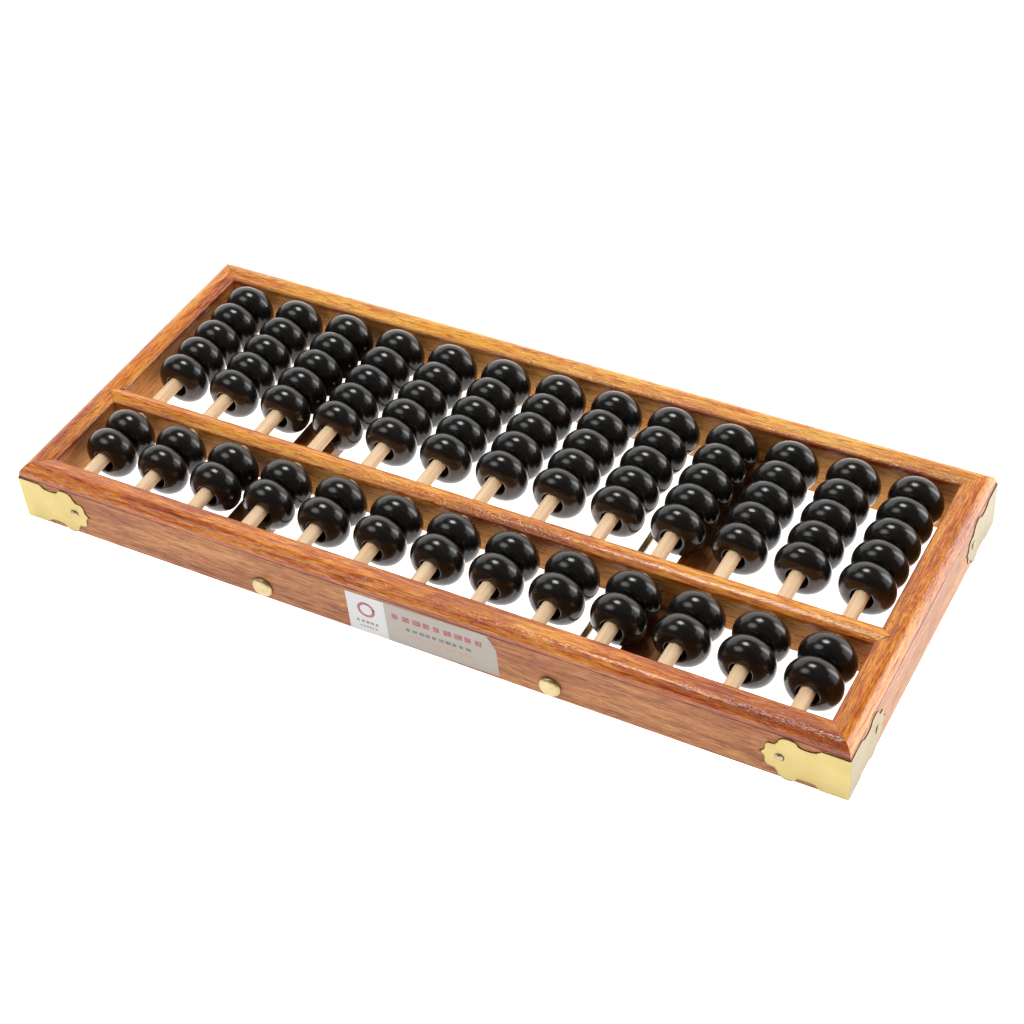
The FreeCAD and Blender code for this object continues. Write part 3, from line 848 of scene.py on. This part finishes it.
def button_profile(radius, rise):
    """A full, flat-topped head from its undercut rim to its pole."""
    profile = [(0, radius * 0.84), (rise * 0.16, radius * 0.97)]
    for i in range(14):
        angle = math.pi / 2 * i / 14
        profile.append((rise * (0.24 + 0.76 * math.sin(angle)), radius * math.cos(angle) ** 0.55))
    profile.append((rise, 0))
    return profile


def aimed(point, direction):
    """A matrix that stands the local Z axis along a direction at a point."""
    turn = Vector((0, 0, 1)).rotation_difference(Vector(direction))
    return Matrix.Translation(point) @ turn.to_matrix().to_4x4()


def tie_rod(node, material):
    """A brass pin right through the frame with a domed head in front."""
    low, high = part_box(node)
    x, z = (low.x + high.x) / 2, (low.z + high.z) / 2
    head = button_profile(TIE_HEAD / 2, -HALF_DEPTH - low.y)
    length = high.y + HALF_DEPTH
    shaft = [(-length, 0), (-length, TIE_RADIUS - 0.2 * MM), (-length + 0.2 * MM, TIE_RADIUS)]
    shaft += [(-length * (1 - i / 30), TIE_RADIUS) for i in range(1, 31)]
    bm = bmesh.new()
    revolve(bm, shaft + head, ROUND_SIDES, aimed((x, -HALF_DEPTH, z), (0, -1, 0)))
    finish_piece(from_bmesh(node + "_brass", bm, material), ROOT, "polished_brass", node)


def tie_rod_nuts(material):
    """The closed nuts behind, one for each tie rod."""
    low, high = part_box("tie_rod_nuts")
    bm = bmesh.new()
    for tie in ("left_tie_rod", "right_tie_rod"):
        tie_low, tie_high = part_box(tie)
        x = (tie_low.x + tie_high.x) / 2
        profile = button_profile(TIE_HEAD / 2, high.y - low.y)
        depth = tie_high.y - low.y + 0.05 * MM
        bore = [(depth, 0), (depth, TIE_RADIUS + 0.05 * MM), (0, TIE_RADIUS + 0.05 * MM)]
        revolve(bm, bore + profile, ROUND_SIDES, aimed((x, low.y, (low.z + high.z) / 2), (0, 1, 0)))
    finish_piece(from_bmesh("tie_nuts_brass", bm, material), ROOT, "polished_brass", "tie_rod_nuts")


def pins(name, node, slot, places, head, rise, shank, length, material, draw):
    """Round-head nails, each driven in at a slightly different angle."""
    bm = bmesh.new()
    for point, direction in places:
        lean = Vector([draw.uniform(-0.05, 0.05) for _ in range(3)])
        stem = [(-length, 0), (-length + 0.6 * MM, shank / 2), (-0.02 * MM, shank / 2)]
        profile = stem + dome_profile(head / 2, rise, 0.12 * MM)
        revolve(bm, profile, 28, aimed(point, Vector(direction) + lean))
    finish_piece(from_bmesh(name, bm, material), ROOT, slot, node)


def corner_nail_places():
    """Where the plates' nails go in, and which way each one looks."""
    low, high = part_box("front_left_corner_plate")
    height = (low.z + high.z) / 2
    face = PLATE_THICKNESS
    places = []
    for x_side in (-1, 1):
        for y_side in (-1, 1):
            places.append(((x_side * (HALF_LENGTH - NAIL_INSET), y_side * (HALF_DEPTH + face), height),
                           (0, y_side, 0)))
            places.append(((x_side * (HALF_LENGTH + face), y_side * (HALF_DEPTH - NAIL_INSET), height),
                           (x_side, 0, 0)))
    return places


def beam_nail_places():
    """Where the beam's nails go in through the slats, looking down."""
    places = []
    for name in ("left_slat", "right_slat"):
        low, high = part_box(name)
        for edge in (-BRAD_INSET, BRAD_INSET):
            places.append((((low.x + high.x) / 2 + edge, BEAM_CENTRE, low.z), (0, 0, -1)))
    return places


def scalloped_arm():
    """Half of a plate's outline, unfolded: (from the corner, from the middle line) points, from the
    straight edge over the scallops to the tip."""
    points = []
    ends = SCALLOPS[1:] + [(PLATE_ARM, 0.0, 0.0)]
    for (along, rise, radius), (next_along, next_rise, _) in zip(SCALLOPS, ends):
        start, end = Vector((along, rise)), Vector((next_along, next_rise))
        chord = end - start
        left = Vector((-chord.y, chord.x)).normalized()
        depth = math.sqrt(max(radius ** 2 - chord.length_squared / 4, 0.0))
        centre = (start + end) / 2 - left * math.copysign(depth, radius)
        first, last = start - centre, end - centre
        swing = last.angle_signed(first)
        points += [centre + Matrix.Rotation(swing * i / 8, 2) @ first for i in range(8)]
    points.append(Vector((PLATE_ARM, 0.0)))
    return points


def around_nail(side, radius, count):
    """Points on a circle round a plate's nail, unfolded."""
    centre = Vector((side * NAIL_INSET_MM, 0))
    return [centre + Matrix.Rotation(math.tau * k / count, 2) @ Vector((radius, 0))
            for k in range(count)]


def corner_plate(node, x_side, y_side, material):
    """Thin sheet brass folded round a corner, with a nail hole, soft edges and slight dents."""
    low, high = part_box(node)
    middle = (low.z + high.z) / 2
    flat = SCALLOPS[0][1]
    arm = scalloped_arm()
    half = [(p.x, p.y) for p in arm] + [(p.x, -p.y) for p in reversed(arm[:-1])]
    edge_steps = [SCALLOPS[0][0] * (1 - i / 10) for i in range(1, 20)]
    outline = half + [(s, -flat) for s in edge_steps]
    outline += [(-s, r) for s, r in reversed(half)]
    outline += [(-s, flat) for s in edge_steps]
    points = [Vector(p) for p in outline]
    edges = [(i, (i + 1) % len(outline)) for i in range(len(outline))]
    for side in (-1, 1):
        first = len(points)
        hole = around_nail(side, PLATE_HOLE, 16)
        points += hole
        edges += [(first + k, first + (k + 1) % len(hole)) for k in range(len(hole))]
    columns = [i + 0.5 - PLATE_ARM for i in range(int(2 * PLATE_ARM))]
    folds = [k * FOLD_STEP for k in range(-3, 4)]
    rows = [i + 0.5 - flat for i in range(int(2 * flat))]
    points += [Vector((s, r)) for s in columns + folds for r in rows]
    for side in (-1, 1):
        # rings of points that carry the painted shadow round each nail head
        for ring_radius in (NAIL_SHADOW_RING, NAIL_SHADOW_RING + 0.35):
            points += around_nail(side, ring_radius, 24)
    verts, _, faces, _, _, _ = delaunay_2d_cdt(points, edges, [], 1, 1e-4)
    radius = PLATE_FOLD
    quarter = radius * math.pi / 4
    cut_edge = {(round(x, 3), round(y, 3)) for x, y in outline}
    bm = bmesh.new()
    dark_edge_and_shadow_layer = bm.verts.layers.float.new("edge")
    lit_end_layer = bm.verts.layers.float.new("end")
    made = []
    seed = 3 * x_side + y_side
    for s, r in verts:
        nail_distance = math.hypot(abs(s) - NAIL_INSET_MM, r)
        press = PLATE_DENTS * (noise.noise(Vector((s * 0.16, r * 0.16, seed))) - 1)
        dish = NAIL_DISH * math.exp(-nail_distance ** 2 / 4.5)
        out = press * min(1.0, abs(s) / 3) - dish
        if abs(s) <= quarter:
            angle = math.pi / 4 + s / radius
            x = HALF_LENGTH / MM - radius + PLATE_SKIN + (radius + out) * math.sin(angle)
            y = HALF_DEPTH / MM - radius + PLATE_SKIN + (radius + out) * math.cos(angle)
        else:
            along = abs(s) - quarter
            faced = HALF_LENGTH / MM + PLATE_SKIN + out, HALF_DEPTH / MM - radius + PLATE_SKIN - along
            fronted = HALF_LENGTH / MM - radius + PLATE_SKIN - along, HALF_DEPTH / MM + PLATE_SKIN + out
            x, y = faced if s > 0 else fronted
        vert = bm.verts.new((x_side * x * MM, y_side * y * MM, middle + r * MM))
        # edge marks the cut outline, partly painted gap shadow, and the painted shadow ring round each nail
        # head
        vert[dark_edge_and_shadow_layer] = float((round(s, 3), round(r, 3)) in cut_edge or nail_distance < NAIL_SHADOW_RING + 0.1)
        # end marks the arms on the frame's ends, which are painted paler as painted light from the side
        vert[lit_end_layer] = float(s > 0)
        made.append(vert)
    for face in faces:
        corner = sum((verts[i] for i in face), Vector((0, 0))) / len(face)
        in_hole = math.hypot(abs(corner.x) - NAIL_INSET_MM, corner.y) < PLATE_HOLE - 0.05
        if not in_hole and inside_outline(corner, outline):
            bm.faces.new([made[i] for i in face])
    loose = [vert for vert in bm.verts if not vert.link_faces]
    bmesh.ops.delete(bm, geom=loose, context="VERTS")
    bmesh.ops.recalc_face_normals(bm, faces=bm.faces)
    outward = Vector((x_side, y_side, 0))
    if sum((face.normal * face.calc_area() for face in bm.faces), Vector()).dot(outward) < 0:
        bmesh.ops.reverse_faces(bm, faces=bm.faces)
    piece = link(node + "_sheet", to_mesh(node, bm), material)
    solid = piece.modifiers.new("thickness", "SOLIDIFY")
    solid.thickness = PLATE_THICKNESS - 0.02 * MM
    solid.offset = -1
    apply_modifiers(piece)
    finish_piece(piece, ROOT, "sheet_brass", node)


def inside_outline(point, outline):
    """True where a point lies inside a closed outline."""
    inside = False
    for (x0, y0), (x1, y1) in zip(outline, outline[1:] + outline[:1]):
        if (y0 > point.y) != (y1 > point.y):
            crossing = x0 + (point.y - y0) * (x1 - x0) / (y1 - y0)
            if point.x < crossing:
                inside = not inside
    return inside


# --- label ---

def slab(bm, corners, low, high, to_row):
    """A flat prism over (across, up) corners, from one distance out of the label to another."""
    rings = [[bm.verts.new(to_row @ Vector((x, out, z))) for x, z in corners] for out in (low, high)]
    cap(bm, rings)
    skin(bm, rings)


def label_matrix():
    """From the label's own across, outwards and up to the row frame."""
    tilt = Matrix.Rotation(math.radians(LABEL_TILT), 4, Vector((0, -1, 0)))
    outwards = Matrix(((1, 0, 0, 0), (0, -1, 0, -HALF_DEPTH), (0, 0, 1, 0), (0, 0, 0, 1)))
    return tilt @ outwards


def label(silver, white, inks):
    """A silver label with a white panel and plain bars in place of print."""
    to_row = label_matrix()
    left, bottom = LABEL_LEFT, LABEL_BOTTOM
    right, top = left + LABEL_WIDTH, bottom + LABEL_HEIGHT
    split = left + LABEL_PANEL
    top_skin = LABEL_THICKNESS
    under = top_skin - 0.03 * MM
    margin = 0.05 * MM
    bm = bmesh.new()
    outline = [(left, bottom), (right, bottom), (right, top - LABEL_CUT[1]),
               (right - LABEL_CUT[0], top), (left, top)]
    slab(bm, outline, 0.02 * MM, under, to_row)
    bmesh.ops.bevel(bm, geom=list(bm.edges), offset=0.02 * MM, segments=1, affect="EDGES")
    finish_piece(from_bmesh("label_foil", bm, silver), ROOT, "label_foil", "label_plate")
    bm = bmesh.new()
    slab(bm, [(left + margin, bottom + margin), (split, bottom + margin), (split, top - margin),
              (left + margin, top - margin)], under, top_skin - 0.01 * MM, to_row)
    panels = [from_bmesh("label_white_panel", bm, white)]
    for name, (row_left, row_right, height, tall, count), material in inks:
        bm = bmesh.new()
        step = (row_right - row_left) / count
        for i in range(count):
            start = left + (row_left + step * i) * MM
            stop = start + step * (0.55 + 0.25 * math.sin(2.3 * i) ** 2) * MM
            low, high = bottom + height * MM, bottom + (height + tall) * MM
            slab(bm, [(start, low), (stop, low), (stop, high), (start, high)], under, top_skin, to_row)
        panels.append(from_bmesh(name, bm, material))
    bm = bmesh.new()
    x, z = left + LABEL_PANEL / 2, bottom + RING_HEIGHT
    inner, outer = RING_RADII
    for i in range(RING_SIDES):
        corners = []
        for k, out in ((i, inner), (i + 1, inner), (i + 1, outer), (i, outer)):
            turn = math.tau * k / RING_SIDES
            corners.append((x + out * math.cos(turn), z + out * math.sin(turn)))
        slab(bm, corners, under, top_skin, to_row)
    bmesh.ops.remove_doubles(bm, verts=bm.verts, dist=0.001 * MM)
    panels.append(from_bmesh("label_ring", bm, inks[0][2]))
    for panel in panels:
        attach(panel, ROOT)


# --- stage ---

def pale_floor():
    sh = Shader("pale_floor", Roughness=0.55)
    cloud = sh.field((3, 3, 3), detail=2)
    sh.set(Base_Color=sh.ramp(cloud, (0.3, 0.90), (0.7, 0.93)),
           Emission_Color=(1.0, 1.0, 1.0), Emission_Strength=FLOOR_GLOW)
    bm = bmesh.new()
    bmesh.ops.create_grid(bm, x_segments=8, y_segments=8, size=30)
    floor = link("floor", to_mesh("floor", bm), sh.material)
    floor.location.z = -0.1 * MM


def direction(azimuth, elevation):
    """Azimuth 0 is -Y and 90 is +X."""
    a, e = math.radians(azimuth), math.radians(elevation)
    return Vector((math.sin(a) * math.cos(e), -math.cos(a) * math.cos(e), math.sin(e)))


def softbox(name, azimuth, elevation, distance, width, height, radiance):
    """A round or oval light turned to the object. Its power is worked out from how bright its face is."""
    data = bpy.data.lights.new(name, "AREA")
    data.shape = "ELLIPSE"
    data.size, data.size_y = width, height
    data.energy = radiance * math.pi * width * height * math.pi / 4
    light = bpy.data.objects.new(name, data)
    light.location = direction(azimuth, elevation) * distance
    light.rotation_euler = light.location.to_track_quat("Z", "Y").to_euler()
    bpy.context.scene.collection.objects.link(light)


def surroundings():
    """A white sweep behind the object and a dark studio above and in front of it."""
    world = bpy.data.worlds.new("studio")
    bpy.context.scene.world = world
    world.use_nodes = True
    sky = Graph(world.node_tree)
    background = sky.nodes["Background"]
    around = sky.add("ShaderNodeTexCoord").outputs["Generated"]
    axes = sky.add("ShaderNodeSeparateXYZ", {0: around}).outputs

    def between(value, low, high):
        inputs = {"Value": value, "From Min": low, "From Max": high}
        return sky.add("ShaderNodeMapRange", inputs, interpolation_type="SMOOTHSTEP").outputs["Result"]

    low_enough = between(axes["Z"], SWEEP_TOP + 0.03, SWEEP_TOP)
    behind = between(axes["Y"], -0.25, 0.15)
    sweep = sky.math("MULTIPLY", sky.math("MULTIPLY", low_enough, behind), SWEEP_GLOW)
    white = (1.0, 1.0, 1.0)
    sky.feed(background, {"Color": white, "Strength": sky.math("ADD", sweep, ROOM_GLOW)})
    plain = sky.add("ShaderNodeBackground", {"Color": white, "Strength": 1.0})
    seen = sky.add("ShaderNodeLightPath").outputs["Is Camera Ray"]
    shown = sky.add("ShaderNodeMixShader", {0: seen, 1: background.outputs[0], 2: plain.outputs[0]})
    sky.feed(sky.nodes["World Output"], {"Surface": shown.outputs[0]})


def camera():
    data = bpy.data.cameras.new("camera")
    data.lens = LENS
    data.sensor_width = 36.0
    data.clip_start = 0.01
    data.clip_end = 100.0
    made = bpy.data.objects.new("camera", data)
    made.location = CAMERA_PLACE
    made.rotation_euler = [math.radians(angle) for angle in CAMERA_TURN]
    bpy.context.scene.collection.objects.link(made)
    bpy.context.scene.camera = made


# --- the abacus ---

# The front rail's inner face is darkened to 0.55 as painted shade.
front_wood = lacquered_wood("front_rail_wood", 0, (0.0, 0.0, 0.0), 0.01, 0.25, 0.55)
back_wood = lacquered_wood("back_rail_wood", 0, (3.1, 1.7, 0.4), 0.08, 0.25)
left_wood = lacquered_wood("left_rail_wood", 1, (5.3, 2.9, 0.8), 0.02, 0.60)
right_wood = lacquered_wood("right_rail_wood", 1, (7.7, 4.1, 1.3), 0.03, 0.80)
beam_wood = lacquered_wood("beam_wood", 0, (9.2, 5.6, 2.2), 0.04, 0.25)

rail("front_rail", HALF_LENGTH, 0, 1, front_wood, long_rail_tools(-1))
rail("back_rail", HALF_LENGTH, 180, 2, back_wood, long_rail_tools(1))
rail("left_end_rail", HALF_DEPTH, -90, 3, left_wood, beam_mortise(-1))
rail("right_end_rail", HALF_DEPTH, 90, 4, right_wood, beam_mortise(1))
divider_beam(beam_wood)
board = slat_wood()
slat("left_slat", board, 5)
slat("right_slat", board, 6)
bead_rods(rod_wood())

black = bead_lacquer()
turner = random.Random(13)
for column in COLUMNS:
    beads(f"{column}_upper_inner_bead", 1, black, turner)
    beads(f"{column}_upper_outer_bead", 1, black, turner)
    beads(f"{column}_lower_beads", EARTH_BEADS, black, turner)

shiny_brass = brass("polished_brass", (0.50, 0.41, 0.22), (0.36, 0.27, 0.13), 0.30, 0.15, 0.9)
sheet_metal = plate_brass()
nail_metal = brass("nail_metal", (0.42, 0.33, 0.20), (0.20, 0.15, 0.09), 0.22, 0.10, 0.3)
steel = brass("wire_nail_steel", (0.60, 0.60, 0.60), (0.32, 0.31, 0.30), 0.28, 0.10, 0.2)
tie_rod("left_tie_rod", shiny_brass)
tie_rod("right_tie_rod", shiny_brass)
tie_rod_nuts(shiny_brass)
for depth_name, y_side in (("front", -1), ("back", 1)):
    for side_name, x_side in (("left", -1), ("right", 1)):
        corner_plate(f"{depth_name}_{side_name}_corner_plate", x_side, y_side, sheet_metal)
nailer = random.Random(3)
pins("corner_nail_heads", "corner_nails", "polished_brass", corner_nail_places(),
     NAIL_HEAD, 0.7 * MM, 1.1 * MM, 7 * MM, nail_metal, nailer)
pins("beam_nail_heads", "beam_nails", "steel_nail", beam_nail_places(),
     2.6 * MM, 0.5 * MM, 1.4 * MM, 14 * MM, steel, nailer)
label(
    foil("label_silver", (0.35, 0.315, 0.275), 0.2, 0.34),
    foil("label_white", (0.60, 0.60, 0.60), 0.0, 0.40),
    [
        ("label_heading_bars", (19.6, 59.0, 12.6, 2.6, 9), ink("heading_ink", (0.30, 0.035, 0.040))),
        ("label_address_bars", (25.0, 53.0, 8.2, 1.4, 10), ink("address_ink", (0.08, 0.08, 0.09))),
        ("label_number_bars", (24.0, 54.0, 4.6, 1.3, 12), ink("number_ink", (0.45, 0.22, 0.12))),
        ("label_caption_bars", (3.4, 13.6, 5.2, 1.3, 5), ink("caption_ink", (0.20, 0.12, 0.08))),
        ("label_sub_bars", (4.6, 12.4, 2.9, 0.8, 6), ink("sub_ink", (0.30, 0.10, 0.08))),
    ],
)

pale_floor()
softbox("overhead_lamp", -122, 78, 1.6, 0.56, 0.56, 13)
softbox("front_softbox_core", -41, 43, 1.79, 0.60, 0.60, 1.3)
softbox("front_softbox_rim", -41, 43, 1.80, 1.00, 1.00, 1.8)
softbox("side_strip_core", 129, 22, 1.79, 0.45, 1.30, 2.6)
softbox("side_strip_rim", 129, 22, 1.80, 0.80, 1.80, 1.7)
surroundings()
bpy.context.scene.view_settings.view_transform = "Standard"
bpy.context.scene.view_settings.exposure = EXPOSURE
camera()
